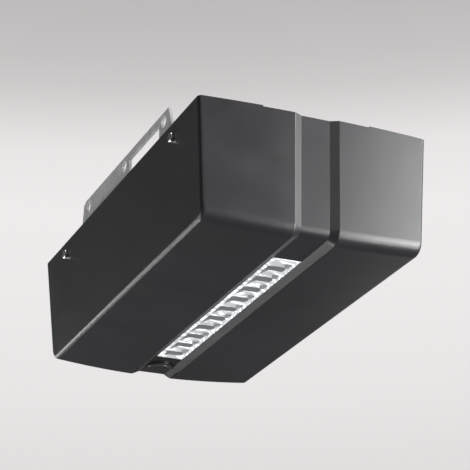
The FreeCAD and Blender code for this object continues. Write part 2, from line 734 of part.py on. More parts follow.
def slot_boxes(inner, outer, y0, y1, width, count):
    slots = []
    for n in range(count):
        slot = box(CENTRES + inner, CENTRES + outer, y0, y1, DRIVE_Z - width / 2, DRIVE_Z + width / 2)
        slot.rotate(V(CENTRES, 0, DRIVE_Z), V(0, 1, 0), 360.0 * n / count)
        slots.append(slot)
    return slots


def armature_core():
    core = motor_tube(CORE_RADIUS, MOTOR_SHAFT_RADIUS, 62, 120)
    return core.cut(group(slot_boxes(9, CORE_RADIUS + 1, 61, 121, 4.4, 10)))


def armature_winding():
    bundles = slot_boxes(9, CORE_RADIUS - 1.2, 62, 120, 4.0, 10)
    turns = [motor_tube(CORE_RADIUS - 1.2, 9, 120, 126), motor_tube(CORE_RADIUS - 1.2, 9, 56, 62)]
    return fuse(*bundles, *turns)


def commutator():
    body = motor_tube(8.5, MOTOR_SHAFT_RADIUS, 128, 138)
    return body.cut(group(slot_boxes(7.8, 10, 127, 139, 0.5, 10)))


def motor_brushes():
    inner, outer = 8.5 + FLAP_GAP, 19.0
    brush = box(CENTRES - 2.5, CENTRES + 2.5, 130, 136, DRIVE_Z + inner, DRIVE_Z + outer)
    return group([brush, brush.mirror(V(0, 0, DRIVE_Z), V(0, 0, 1))])


def brush_holders():
    holders = []
    for side in (-1, 1):
        low, high = sorted((DRIVE_Z + side * 11, DRIVE_Z + side * 25))
        case = box(CENTRES - 4.5, CENTRES + 4.5, 128, CAN_FAR, low, high)
        brush_low, brush_high = sorted((DRIVE_Z + side * 8, DRIVE_Z + side * 19))
        holders.append(case.cut(box(CENTRES - 2.5, CENTRES + 2.5, 130, 136, brush_low, brush_high)))
    return group(holders)


def encoder_disc():
    disc = motor_tube(13, MOTOR_SHAFT_RADIUS, 150, 151.2)
    hub = motor_tube(6, MOTOR_SHAFT_RADIUS, 151.2, 153.5)
    return fuse(disc, hub).cut(group(slot_boxes(8.5, 12, 149, 152, 1.6, 12)))


def encoder_sensor():
    block = box(CENTRES - 4, CENTRES + 4, CAN_FAR + 7, 154.2, DRIVE_Z + 7.5, DRIVE_Z + 18)
    return block.cut(box(CENTRES - 5, CENTRES + 5, 149, 152.2, DRIVE_Z + 6, DRIVE_Z + 14))


def motor_strap():
    y0, y1 = 108.0, 120.0
    band = motor_tube(CAN_RADIUS + 1.5, CAN_RADIUS, y0, y1)
    band = band.common(box(CENTRES - 40, CENTRES + 40, y0, y1, DRIVE_Z - 40, DRIVE_Z))
    parts = [band]
    for side in (-1, 1):
        leg0, leg1 = sorted((CENTRES + side * CAN_RADIUS, CENTRES + side * (CAN_RADIUS + 1.5)))
        foot0, foot1 = sorted((CENTRES + side * CAN_RADIUS, CENTRES + side * (CAN_RADIUS + 14)))
        parts.append(box(leg0, leg1, y0, y1, DRIVE_Z, -PLATE))
        parts.append(box(foot0, foot1, y0, y1, -PLATE - 1.5, -PLATE))
    return fuse(*parts)


# ---- power supply and control board --------------------------------------------------------------

def transformer_core():
    x0, x1, y0, y1, z0, z1 = CORE_BOX
    core = box(x0, x1, y0, y1, z0, z1)
    for start in (x0 + 10, x1 - 20):
        core = core.cut(box(start, start + 10, y0, y1, z0 + 10, z1 - 10))
    return core


def transformer_winding():
    x0, x1, y0, y1, z0, z1 = CORE_BOX
    outer = box(x0 + 10, x1 - 10, y0 - 9, y1 + 9, z0 + 10.3, z1 - 10.3)
    outer = round_edges(outer, 8, lambda e: e.BoundBox.ZLength > 20)
    return outer.cut(box(x0 + 20, x1 - 20, y0, y1, z0, z1))


def transformer_frame():
    x0, x1, y0, y1, z0, z1 = CORE_BOX
    low_y, high_y = y0 + 10, y1 - 10
    strap = box(x0 - 1.5, x1 + 1.5, low_y, high_y, z0 - 1.5, -PLATE)
    strap = strap.cut(box(x0, x1, low_y, high_y, z0, -PLATE))
    feet = [box(x0 - 12, x0, low_y, high_y, -PLATE - 1.5, -PLATE),
            box(x1, x1 + 12, low_y, high_y, -PLATE - 1.5, -PLATE)]
    return fuse(strap, *feet)


def control_board():
    board = box(*BOARD, BOARD_LOW, BOARD_TOP)
    for x, y in BOARD_POSTS:
        board = board.cut(rod(1.5, (x, y, BOARD_LOW), (x, y, BOARD_TOP)))
    return board


def board_posts():
    posts = [rod(3.5, (x, y, BOARD_TOP), (x, y, -PLATE)) for x, y in BOARD_POSTS]
    return group(post.cut(rod(1.5, (x, y, BOARD_TOP), (x, y, BOARD_TOP + 8)))
                 for post, (x, y) in zip(posts, BOARD_POSTS))


def board_screws():
    screws = []
    for x, y in BOARD_POSTS:
        shank = rod(1.5, (x, y, BOARD_LOW), (x, y, BOARD_TOP + 8))
        head = rod(2.8, (x, y, BOARD_LOW - 2), (x, y, BOARD_LOW))
        screws.append(fuse(shank, head))
    return group(screws)


def hang(x0, x1, y0, y1, drop):
    """A component box below the board."""
    return box(x0, x1, y0, y1, BOARD_LOW - drop, BOARD_LOW)


def relays():
    return group(hang(x, x + 20, -128, -112, 16) for x in (-70, -46, -22))


def board_capacitors():
    places = ((30, -95, 12.5, 34), (60, -95, 12.5, 34), (45, -120, 8, 24), (-62, -92, 6, 12))
    cans = []
    for x, y, radius, drop in places:
        bottom = BOARD_LOW - drop
        can = rod(radius, (x, y, bottom), (x, y, BOARD_LOW))
        cans.append(round_edges(can, 1.0, lambda e: e.BoundBox.ZMax < bottom + 0.1))
    return group(cans)


def board_chips():
    places = ((-20, -2, -100, -82, 1.8), (4, 12, -84, -79, 1.6),
              (-44, -38, -96, -84, 2.2), (8, 16, -100, -92, 3))
    return group(hang(*place) for place in places)


def heat_sink():
    base = hang(24, 70, -152, -148, 26)
    fins = [hang(24, 70, -148 + 3.6 * n + 2.4, -148 + 3.6 * n + 3.6, 26) for n in range(3)]
    bridge = hang(24, 70, -148, -137.2, 3)
    return fuse(base, bridge, *fins)


def board_fuse():
    glass = rod(2.6, (-66, -148, BOARD_LOW - 5), (-46, -148, BOARD_LOW - 5))
    clips = [hang(x, x + 4, -151, -145, 8) for x in (-67, -49)]
    return fuse(glass, *clips)


def board_sockets():
    return group(hang(x, x + 12, -76, -68, 9) for x in (-62, -44, 20, 40))


def terminal_block():
    x, y = TERMINALS_AT
    block = box(x - 26, x + 26, y - 6, y + 8, 0, 12)
    block = round_edges(block, 0.8, lambda e: e.BoundBox.ZMin > 11.9)
    for n in range(6):
        at = x - 21 + 8.4 * n
        block = block.cut(rod(1.6, (at, y + 3, 4), (at, y + 3, 13)))
        block = block.cut(box(at - 2.2, at + 2.2, y - 4, y - 1, 9, 13))
    return block


def power_inlet():
    x, y = INLET_AT
    flange = box(x - 18, x + 18, y - 12, y + 12, 0, 2)
    flange = round_edges(flange, 3, lambda e: e.BoundBox.ZLength > 1.9)
    body = box(x - 13.5, x + 13.5, y - 9.8, y + 9.8, -22, 0)
    socket = box(x - 12, x + 12, y - 8.2, y + 8.2, -17, 3)
    socket = round_edges(socket, 3, lambda e: e.BoundBox.ZLength > 10 and e.CenterOfMass.y > y)
    return fuse(flange, body).cut(socket)


def inlet_pins():
    x, y = INLET_AT
    places = ((x - 7, y - 2), (x, y + 2), (x + 7, y - 2))
    return group(box(px - 1, px + 1, py - 2, py + 2, -17, -4) for px, py in places)


def bent_wire(points, radius, bend):
    """A round wire along straight runs joined by tangent arcs."""
    points = [V(*p) for p in points]
    edges = []
    start = points[0]
    for before, corner, after in zip(points, points[1:], points[2:]):
        back = (before - corner).normalize()
        on = (after - corner).normalize()
        half = back.getAngle(on) / 2
        reach = bend / math.tan(half)
        first, last = corner + back * reach, corner + on * reach
        centre = corner + (back + on).normalize() * (bend / math.sin(half))
        mid = centre + (corner - centre).normalize() * bend
        edges += [Part.LineSegment(start, first).toShape(), Part.Arc(first, mid, last).toShape()]
        start = last
    edges.append(Part.LineSegment(start, points[-1]).toShape())
    path = Part.Wire(edges)
    section = Part.Wire([Part.makeCircle(radius, points[0], points[1] - points[0])])
    return path.makePipeShell([section], True, True)


def internal_wires():
    inlet_x, inlet_y = INLET_AT
    mains = [bent_wire([(inlet_x - 9 + dx, inlet_y, -22), (inlet_x - 9 + dx, inlet_y, -72 - dx),
                        (-88 + dx, 60, -72 - dx), (-88 + dx, -20, -60), (-56 + dx, -72, -60),
                        (-56 + dx, -72, BOARD_LOW - 9)], 1.3, 9) for dx in (0, 4)]
    lamp = bent_wire([(-6, -100, TRAY_TOP + 1.6), (-6, -100, -70), (-6, -72, -70), (24, -72, -62),
                      (24, -72, BOARD_LOW - 9)], 1.0, 4.5)
    keys = bent_wire([(14, 134, KEY_BOARD_LOW + 1.6), (14, 134, -76), (0, 60, -76), (0, -40, -74),
                      (46, -72, -70), (46, -72, BOARD_LOW - 9)], 1.2, 4.5)
    motor = bent_wire([(CENTRES - 20, CAN_FAR + 5, DRIVE_Z), (CENTRES - 20, 160, DRIVE_Z), (2, 160, DRIVE_Z),
                       (2, 130, -50), (2, 64, -50), (-40, 50, -66), (-50, -40, -66), (-40, -72, -60),
                       (-40, -72, BOARD_LOW - 9)], 1.3, 5)
    return group(mains + [lamp, keys, motor])


SINGLE_NODES = (
    hood, light_lens, light_reflector, led_board, led_emitters, display_window, display_module, control_flap,
    flap_hinge_pin, control_fascia, key_board, key_switches, chassis_plate, chassis_nuts, bracket_left,
    bracket_bolts, hood_screws, hood_clip_nuts, gear_housing, gear_cover, housing_screws,
    worm_wheel, output_shaft, shaft_circlip, worm, motor_shaft, motor_can, motor_front_cap, motor_rear_cap,
    motor_screws, motor_magnets, armature_core, armature_winding, commutator, motor_brushes, brush_holders,
    encoder_disc, encoder_sensor, motor_strap, transformer_core, transformer_winding, transformer_frame,
    control_board, board_posts, board_screws, relays, board_capacitors, board_chips, heat_sink, board_fuse,
    board_sockets, terminal_block, power_inlet, inlet_pins, internal_wires,
)


def build_nodes():
    nodes = {maker.__name__: maker() for maker in SINGLE_NODES}
    nodes["bracket_right"] = mirror_x(nodes["bracket_left"])
    nodes["door_button"] = button(DOOR_BUTTON)
    for name, place in PROGRAM_BUTTONS.items():
        nodes[name] = button(place)
    low = HOUSING[4]
    nodes["shaft_bushes"] = group([
        shaft_bush(-14, 0), shaft_bush(low, low + 12), motor_bush(HOUSING[2], HOUSING[2] + 8),
        motor_bush(CAN_NEAR - 4, CAN_NEAR), motor_bush(CAN_FAR, CAN_FAR + 7)])
    return nodes


def main():
    os.makedirs("parts", exist_ok=True)
    for name, shape in build_nodes().items():
        shape.exportStep("parts/" + name + ".step")
        print(name, "valid" if shape.isValid() else "NOT VALID", len(shape.Solids), round(shape.Volume, 1))


main()
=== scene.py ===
import json
import math

import bmesh
import bpy
from mathutils import Matrix, Vector


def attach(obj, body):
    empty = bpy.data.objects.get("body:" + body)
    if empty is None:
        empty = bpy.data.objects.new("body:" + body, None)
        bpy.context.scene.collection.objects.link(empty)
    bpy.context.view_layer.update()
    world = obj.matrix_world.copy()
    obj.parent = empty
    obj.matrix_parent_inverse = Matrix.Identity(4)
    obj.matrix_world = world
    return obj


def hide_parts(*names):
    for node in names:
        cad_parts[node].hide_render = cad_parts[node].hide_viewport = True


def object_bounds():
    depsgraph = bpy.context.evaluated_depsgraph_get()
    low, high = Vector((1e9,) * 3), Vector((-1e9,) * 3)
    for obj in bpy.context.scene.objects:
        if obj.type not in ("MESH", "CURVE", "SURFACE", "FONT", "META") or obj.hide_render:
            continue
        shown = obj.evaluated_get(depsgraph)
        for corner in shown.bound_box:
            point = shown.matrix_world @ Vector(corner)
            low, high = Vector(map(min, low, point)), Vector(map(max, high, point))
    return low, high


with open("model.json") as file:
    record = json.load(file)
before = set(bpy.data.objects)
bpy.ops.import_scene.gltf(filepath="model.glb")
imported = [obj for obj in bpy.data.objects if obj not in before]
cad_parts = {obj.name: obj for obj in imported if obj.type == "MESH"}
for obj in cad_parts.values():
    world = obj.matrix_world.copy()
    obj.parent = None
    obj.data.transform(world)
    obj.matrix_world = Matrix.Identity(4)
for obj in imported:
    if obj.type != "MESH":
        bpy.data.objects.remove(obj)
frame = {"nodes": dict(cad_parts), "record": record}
cad_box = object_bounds()
NODES = frame["nodes"]
MM = 0.001

# Camera, found from the object's own edges: angles in degrees, place in metres.
YAW, PITCH, ROLL = 25.21, 24.11, -1.417
CAMERA_AT = Vector((-0.5843, -1.2661, -0.6521))
LENS, SENSOR = 132.04, 36.0
FLOOR_HALF = 30.0
FLOOR_DROP = 2.2                        # floor below the hood's bottom


# ---- node helpers ---------------------------------------------------------------------------

class Shader:
    """A Principled material with short calls for the textures that feed it."""

    def __init__(self, name, color, rough, metal=0.0, **sockets):
        self.material = bpy.data.materials.new(name)
        self.material.use_nodes = True
        self.tree = self.material.node_tree
        self.base = self.tree.nodes["Principled BSDF"]
        self.color = (*color, 1.0)
        self.rough = rough
        self.set("Base Color", self.color)
        self.set("Roughness", rough)
        self.set("Metallic", metal)
        for socket, value in sockets.items():
            self.set(socket.replace("_", " "), value)
        self.height = None

    def set(self, socket, value):
        self.base.inputs[socket].default_value = value

    def node(self, kind, **settings):
        made = self.tree.nodes.new(kind)
        for key, value in settings.items():
            if key in made.inputs:
                made.inputs[key].default_value = value
            else:
                setattr(made, key, value)
        return made

    def link(self, source, target):
        self.tree.links.new(source, target)

    def place(self, scale=(1.0, 1.0, 1.0)):
        """The object's own coordinates, in metres, stretched by scale."""
        where = self.node("ShaderNodeTexCoord")
        stretch = self.node("ShaderNodeVectorMath", operation="MULTIPLY")
        stretch.inputs[1].default_value = scale
        self.link(where.outputs["Object"], stretch.inputs[0])
        return stretch.outputs[0]

    def noise(self, scale, detail=3.0, stretch=(1, 1, 1)):
        made = self.node("ShaderNodeTexNoise", Scale=scale, Detail=detail)
        self.link(self.place(stretch), made.inputs["Vector"])
        return made.outputs["Fac"]

    def cells(self, scale, feature="F1", stretch=(1, 1, 1)):
        made = self.node("ShaderNodeTexVoronoi", Scale=scale, feature=feature)
        self.link(self.place(stretch), made.inputs["Vector"])
        return made

    def bands(self, scale, axis="X", distortion=0.0):
        made = self.node("ShaderNodeTexWave",
                         Scale=scale, Distortion=distortion, bands_direction=axis)
        self.link(self.place(), made.inputs["Vector"])
        return made.outputs["Fac"]

    def spread(self, source, low, high, start=0.3, end=0.7):
        """Map a texture's middle range on to low..high."""
        made = self.node("ShaderNodeMapRange")
        limits = {"From Min": start, "From Max": end, "To Min": low, "To Max": high}
        for socket, value in limits.items():
            made.inputs[socket].default_value = value
        self.link(source, made.inputs["Value"])
        return made.outputs["Result"]

    def vary_rough(self, source, amount):
        varied = self.spread(source, self.rough - amount, self.rough + amount)
        self.link(varied, self.base.inputs["Roughness"])

    def vary_color(self, source, other, start=0.3, end=0.7):
        mix = self.node("ShaderNodeMix", data_type="RGBA")
        mix.inputs[6].default_value = self.color
        mix.inputs[7].default_value = (*other, 1.0)
        self.link(self.spread(source, 0.0, 1.0, start, end), mix.inputs[0])
        self.link(mix.outputs[2], self.base.inputs["Base Color"])

    def bump(self, source, depth, strength=1.0):
        """Add relief of this depth in metres, over any relief already there."""
        made = self.node("ShaderNodeBump", Strength=strength, Distance=depth)
        self.link(source, made.inputs["Height"])
        if self.height is not None:
            self.link(self.height, made.inputs["Normal"])
        self.height = made.outputs["Normal"]
        self.link(self.height, self.base.inputs["Normal"])


# ---- materials --------------------------------------------------------------------------------

def hood_paint():
    """Anthracite powder coat: fine grain, slight orange peel, uneven gloss."""
    s = Shader("hood_paint", (0.017, 0.017, 0.019), 0.36, Specular_IOR_Level=0.5)
    s.vary_rough(s.noise(35, 4), 0.03)
    s.vary_color(s.noise(12, 2), (0.021, 0.021, 0.024))
    s.bump(s.noise(420, 2), 0.00006, 0.35)
    s.bump(s.cells(2600).outputs["Distance"], 0.00002, 0.25)
    return s.material


def bead_painted_highlight():
    """The hood's colour, a little smoother, made paler as a painted highlight along the flap's
    front edge.
    """
    s = Shader("bead_painted_highlight", (0.06, 0.06, 0.063), 0.3)
    s.vary_rough(s.noise(300, 3), 0.05)
    s.vary_color(s.noise(180, 3), (0.045, 0.045, 0.048))
    s.bump(s.noise(900, 2), 0.00002, 0.3)
    return s.material


def moulded(name, color, rough=0.45, grain=1800):
    s = Shader(name, color, rough)
    s.vary_rough(s.noise(60, 3), 0.05)
    s.vary_color(s.noise(25, 3), tuple(c * 0.85 for c in color))
    s.bump(s.cells(grain).outputs["Distance"], 0.00003, 0.4)
    return s.material


def galvanised():
    """Zinc spangle: soft crystals that differ in tone and gloss."""
    color = (0.5, 0.5, 0.5)
    s = Shader("galvanised", color, 0.42, 0.35)
    crystals = s.cells(140)
    flat = s.node("ShaderNodeSeparateColor")
    s.link(crystals.outputs["Color"], flat.inputs[0])
    s.vary_color(flat.outputs[0], tuple(c * 0.82 for c in color), 0.0, 1.0)
    s.link(s.spread(flat.outputs[1], 0.34, 0.5, 0.0, 1.0), s.base.inputs["Roughness"])
    s.bump(s.noise(900, 3), 0.00002, 0.3)
    return s.material


def plated(name, color, rough=0.28):
    s = Shader(name, color, rough, 1.0)
    s.vary_rough(s.noise(300, 3), 0.07)
    s.vary_color(s.noise(90, 3), tuple(c * 0.8 for c in color))
    s.bump(s.noise(1500, 2), 0.00001, 0.3)
    return s.material


def machined(name, color, axis):
    """Turned or ground metal, with fine rings along an axis."""
    s = Shader(name, color, 0.24, 1.0)
    s.vary_rough(s.noise(200, 3), 0.06)
    s.bump(s.bands(900, axis, 1.5), 0.00001, 0.5)
    return s.material


def cast(name, color):
    s = Shader(name, color, 0.5, 1.0)
    s.vary_rough(s.noise(120, 4), 0.08)
    s.vary_color(s.noise(40, 4), tuple(c * 0.75 for c in color))
    s.bump(s.noise(700, 5), 0.00012, 0.6)
    return s.material


def stacked(name, color, axis):
    """Core plates seen edge on."""
    s = Shader(name, color, 0.45, 0.8)
    s.vary_color(s.noise(80, 4), tuple(c * 0.6 for c in color))
    s.bump(s.bands(320, axis), 0.00012, 0.8)
    return s.material


def wound(name, color, axis):
    """Enamelled wire laid side by side."""
    s = Shader(name, color, 0.3, 0.85)
    s.vary_color(s.noise(150, 3), tuple(c * 0.65 for c in color))
    s.bump(s.bands(260, axis, 0.6), 0.0002, 0.9)
    return s.material


def circuit(name, color):
    """Solder mask with the relief of the tracks under it."""
    s = Shader(name, color, 0.32)
    tracks = s.cells(90, "DISTANCE_TO_EDGE", (1, 1, 0.2)).outputs["Distance"]
    s.vary_color(tracks, tuple(c * 1.5 for c in color), 0.02, 0.05)
    s.bump(tracks, 0.00005, 0.3)
    return s.material


def glossy(name, color, rough=0.12):
    s = Shader(name, color, rough, Coat_Weight=0.3)
    s.vary_rough(s.noise(80, 3), 0.03)
    s.bump(s.noise(60, 2), 0.00002, 0.2)
    return s.material


def window_glass():
    s = Shader("black_window", (0.012, 0.012, 0.013), 0.16, Specular_IOR_Level=0.5)
    s.vary_rough(s.noise(120, 3), 0.03)
    s.bump(s.noise(50, 2), 0.00002, 0.15)
    return s.material


def clear_lens():
    s = Shader("clear_lens", (0.9, 0.92, 0.93), 0.1, Alpha=0.07, Specular_IOR_Level=0.6)
    s.vary_rough(s.noise(90, 3), 0.04)
    s.bump(s.noise(160, 2), 0.00004, 0.3)
    return s.material


def painted_glow_plastic(name, glow, rough=0.25):
    """White reflector plastic with a painted glow, though it is no lamp, and patches of painted
    shade from a grey ripple in its colour and glow.
    """
    s = Shader(name, (0.82, 0.83, 0.84), rough, Emission_Color=(1, 1, 1, 1), Emission_Strength=glow)
    s.vary_rough(s.noise(200, 3), 0.06)
    s.bump(s.noise(320, 3), 0.0002, 0.5)
    # Painted shade: the grey ripple darkens patches of the colour, and the glow follows the colour.
    painted_shade_ripple = s.noise(230, 2, (0.35, 1.0, 1.0))
    s.vary_color(painted_shade_ripple, (0.3, 0.31, 0.32), 0.38, 0.5)
    s.link(s.base.inputs["Base Color"].links[0].from_socket, s.base.inputs["Emission Color"])
    return s.material


MATERIALS = {
    "hood_paint": hood_paint(),
    "frosted_lens": clear_lens(),
    "black_glass": window_glass(),
    "dark_plastic": moulded("dark_plastic", (0.03, 0.03, 0.033)),
    "white_plastic": moulded("white_plastic", (0.75, 0.75, 0.73), 0.4),
    "grey_plastic": moulded("grey_plastic", (0.32, 0.33, 0.34)),
    "green_board": circuit("green_board", (0.012, 0.11, 0.035)),
    "white_board": circuit("white_board", (0.55, 0.56, 0.55)),
    "galvanised": galvanised(),
    "zinc_steel": plated("zinc_steel", (0.62, 0.62, 0.61)),
    "machined_steel": machined("machined_steel", (0.58, 0.58, 0.59), "Z"),
    "cast_alloy": cast("cast_alloy", (0.56, 0.57, 0.58)),
    "bronze": cast("bronze", (0.55, 0.36, 0.17)),
    "nylon_gear": moulded("nylon_gear", (0.75, 0.73, 0.64), 0.38, 900),
    "ferrite": moulded("ferrite", (0.04, 0.04, 0.043), 0.6, 1200),
    "copper": wound("copper", (0.72, 0.33, 0.16), "Y"),
    "carbon": moulded("carbon", (0.02, 0.02, 0.02), 0.55, 1500),
    "laminations": stacked("laminations", (0.25, 0.25, 0.27), "Y"),
    "amber_tape": wound("amber_tape", (0.6, 0.38, 0.05), "Z"),
    "can_sleeve": glossy("can_sleeve", (0.02, 0.035, 0.1), 0.2),
    "sink_alloy": machined("sink_alloy", (0.05, 0.05, 0.055), "X"),
    "relay_case": glossy("relay_case", (0.03, 0.07, 0.25), 0.22),
    "wire": moulded("wire", (0.03, 0.03, 0.033), 0.4),
    "tin_pins": plated("tin_pins", (0.7, 0.7, 0.68), 0.2),
    "led_phosphor": moulded("led_phosphor", (0.85, 0.75, 0.35), 0.35, 900),
}


def dress_nodes():
    """Give every CAD node the material of its slot."""
    for part in frame["record"]["subparts"]:
        node = NODES[part["node"]]
        node.data.materials.clear()
        node.data.materials.append(MATERIALS[part["material_slot"]])


# ---- light strip and flap -----------------------------------------------------------------------

def grid_mesh(rows):
    """A sheet through rows of points, all rows of one length."""
    mesh = bmesh.new()
    made = [[mesh.verts.new(p) for p in row] for row in rows]
    for near, far in zip(made, made[1:]):
        for a, b, c, d in zip(near, near[1:], far[1:], far):
            mesh.faces.new((a, b, c, d))
    return mesh


def as_piece(mesh, name, material, thickness=0.0, smooth=True, body="head"):
    """Turn a bmesh into an object that rides on a body, thickened if asked."""
    bmesh.ops.recalc_face_normals(mesh, faces=mesh.faces[:])
    data = bpy.data.meshes.new(name)
    mesh.to_mesh(data)
    mesh.free()
    for face in data.polygons:
        face.use_smooth = smooth
    piece = bpy.data.objects.new(name, data)
    bpy.context.scene.collection.objects.link(piece)
    data.materials.append(material)
    if thickness:
        solid = piece.modifiers.new("thickness", "SOLIDIFY")
        solid.thickness, solid.offset = thickness, 1.0
    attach(piece, body)
    return piece


# The strip's window, in millimetres: its ends along Y, its half width, and heights within it.
STRIP_NEAR, STRIP_FAR = -123.3, 124.0
STRIP_HALF = 12.5
STRIP_END = STRIP_FAR - 0.2             # where the far rail ends
END_RAIL = 0.8
LENS_LOW, LENS_TOP = -101.1, -99.3
LENS_FAR = STRIP_FAR - 1.1
CUP_RIM = -98.9
FIRST_BAR, BAR_PITCH, BAR_COUNT = -97.3, 23.9, 10
# Strengths of the painted glow on the cups and rails, which are no lamps.
CUP_GLOW, RAIL_GLOW = 1.1, 1.3
CUP_DEPTH, CUP_BULGE = 2.6, 1.1
CUP_HALF, CUP_STEP, CUP_SHEET = 14.0, 0.8, 0.6
RIGHT_RAIL, LEFT_RAIL = (11.8, 12.45), (-10.2, -7.4)
RAIL_BREAK = 0.9                        # gap between one cell's rail and the next


def bar_places():
    return [FIRST_BAR + BAR_PITCH * n for n in range(BAR_COUNT)]


def bevelled_slab(mesh, corners, low, high, bevel):
    """Add a slab on an outline of (x, y) corners between two heights, with softened edges."""
    bottom = [mesh.verts.new((x * MM, y * MM, low * MM)) for x, y in corners]
    top = [mesh.verts.new((x * MM, y * MM, high * MM)) for x, y in corners]
    faces = [mesh.faces.new(bottom), mesh.faces.new(top)]
    for n in range(len(corners)):
        m = (n + 1) % len(corners)
        faces.append(mesh.faces.new((bottom[n], bottom[m], top[m], top[n])))
    edges = {edge for face in faces for edge in face.edges}
    bmesh.ops.bevel(mesh, geom=list(edges), offset=bevel * MM,
                    segments=2, profile=0.5, affect="EDGES")


def rectangle(left, right, near, far):
    return [(left, near), (right, near), (right, far), (left, far)]


def light_cups():
    """One moulded sheet of reflector cups, two bulges to a cell."""
    def height(x, y):
        along = (y - FIRST_BAR) / BAR_PITCH % 1.0
        side = max(0.0, 1.0 - (abs(x) / STRIP_HALF) ** 4)
        bowl = math.sin(math.pi * along) ** 0.8
        bulge = 0.5 - 0.5 * math.cos(4 * math.pi * along)
        return CUP_RIM + CUP_SHEET + side * (CUP_DEPTH * bowl - CUP_BULGE * bulge * bowl)

    across = [-CUP_HALF + n for n in range(29)]
    along = [STRIP_NEAR - 2.0 + CUP_STEP * n for n in range(314)]
    mesh = grid_mesh([[(x * MM, y * MM, height(x, y) * MM) for x in across] for y in along])
    # The cups' glow and grey ripple are painted light and painted shade, not lamps.
    piece = as_piece(mesh, "light_cups", painted_glow_plastic("cups_painted_glow", CUP_GLOW),
                     CUP_SHEET * MM)
    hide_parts("light_reflector")


def light_bars():
    """The bar across each cell, notched at its right end, coloured dark as painted shade on the
    reflector blade's face.
    """
    mesh = bmesh.new()
    for place in bar_places():
        outline = [(-6.8, place - 2.0), (-5.2, place - 3.6), (8.6, place - 3.7),
                   (10.3, place - 1.6), (9.8, place + 3.0), (8.8, place + 3.7), (-5.8, place + 3.6)]
        bevelled_slab(mesh, outline, CUP_RIM, CUP_RIM + 2.4, 0.3)
    plastic = moulded("bar_painted_shade", (0.085, 0.085, 0.088), 0.4)
    as_piece(mesh, "light_bars", plastic, smooth=False)


def light_facets():
    """The plain sloped facet at one corner of each cell, coloured grey as painted shade."""
    mesh = bmesh.new()
    for place in [FIRST_BAR - BAR_PITCH] + bar_places()[:-1]:
        outline = [(5.4, place + 13.6), (11.6, place + 12.2),
                   (11.6, place + 19.0), (8.0, place + 19.8)]
        bevelled_slab(mesh, outline, CUP_RIM - 0.1, CUP_RIM + 0.9, 0.2)
    plastic = moulded("facet_painted_shade", (0.24, 0.245, 0.25), 0.3)
    as_piece(mesh, "light_facets", plastic, smooth=False)


def painted_shade_wedges():
    """A grey wedge of painted shade between each bar's left end and the rail."""
    mesh = bmesh.new()
    for place in bar_places():
        outline = [(-7.2, place + 2.4), (-2.4, place + 4.0),
                   (-4.6, place + 9.0), (-7.2, place + 14.5)]
        bevelled_slab(mesh, outline, CUP_RIM - 0.1, CUP_RIM + 1.1, 0.2)
    plastic = moulded("painted_shade_plastic", (0.2, 0.205, 0.21), 0.35)
    as_piece(mesh, "painted_shade_wedges", plastic, smooth=False)


def light_rails():
    """White rails along both sides of the strip, bright with a painted glow in place of their
    highlights.
    """
    mesh = bmesh.new()
    runs = [(STRIP_NEAR, FIRST_BAR + 1.1)]
    for place in bar_places():
        start = place + 2.0
        runs.append((start, min(start + BAR_PITCH - RAIL_BREAK, STRIP_END - 0.9)))
    for start, end in runs:
        bevelled_slab(mesh, rectangle(*RIGHT_RAIL, start, end), LENS_LOW, -99.2, 0.12)
        bevelled_slab(mesh, rectangle(*LEFT_RAIL, start, end), CUP_RIM - 0.3, CUP_RIM + 1.2, 0.3)
    end_rail = rectangle(-12.2, 12.2, STRIP_END - END_RAIL, STRIP_END)
    bevelled_slab(mesh, end_rail, LENS_LOW, -98.2, 0.12)
    as_piece(mesh, "light_rails", painted_glow_plastic("rails_painted_glow", RAIL_GLOW),
             smooth=False)


def light_window():
    """The clear cover, up to the right and far rails."""
    mesh = bmesh.new()
    outline = rectangle(-STRIP_HALF, 11.7, STRIP_NEAR, LENS_FAR)
    bevelled_slab(mesh, outline, LENS_LOW, LENS_TOP, 0.2)
    piece = as_piece(mesh, "light_window", MATERIALS["frosted_lens"],
                     smooth=False)
    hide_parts("light_lens")


# The bead on the flap's rounded front edge, in millimetres and degrees.
FLAP_CENTRE_Y, BEAD_RADIUS = 153.5, 12.3
BEAD_Z = LENS_LOW - 1.6
BEAD_TUBE, BEAD_REACH = 0.75, 70.0
BEAD_SIDES, BEAD_STEPS = 12, 48


def flap_bead():
    """A round bead along the flap's front edge, thinner at its ends, pale as a painted highlight.
    """
    mesh = bmesh.new()
    rings = []
    for n in range(BEAD_STEPS + 1):
        turn = math.radians(BEAD_REACH * (2.0 * n / BEAD_STEPS - 1.0))
        taper = min(1.0, 0.35 + 6.0 * min(n, BEAD_STEPS - n) / BEAD_STEPS)
        ring = []
        for k in range(BEAD_SIDES):
            angle = 2.0 * math.pi * k / BEAD_SIDES
            radius = BEAD_RADIUS + BEAD_TUBE * taper * math.cos(angle)
            x = radius * math.sin(turn)
            y = FLAP_CENTRE_Y - radius * math.cos(turn)
            z = BEAD_Z + BEAD_TUBE * taper * math.sin(angle)
            ring.append(mesh.verts.new((x * MM, y * MM, z * MM)))
        rings.append(ring)
    for near, far in zip(rings, rings[1:]):
        for k in range(BEAD_SIDES):
            m = (k + 1) % BEAD_SIDES
            mesh.faces.new((near[k], near[m], far[m], far[k]))
    mesh.faces.new(rings[0])
    mesh.faces.new(rings[-1])
    as_piece(mesh, "flap_bead", bead_painted_highlight(), body="flap")


# ---- stage ------------------------------------------------------------------------------------

FLOOR_GLOW = 0.65                       # the panels alone leave the floor dark


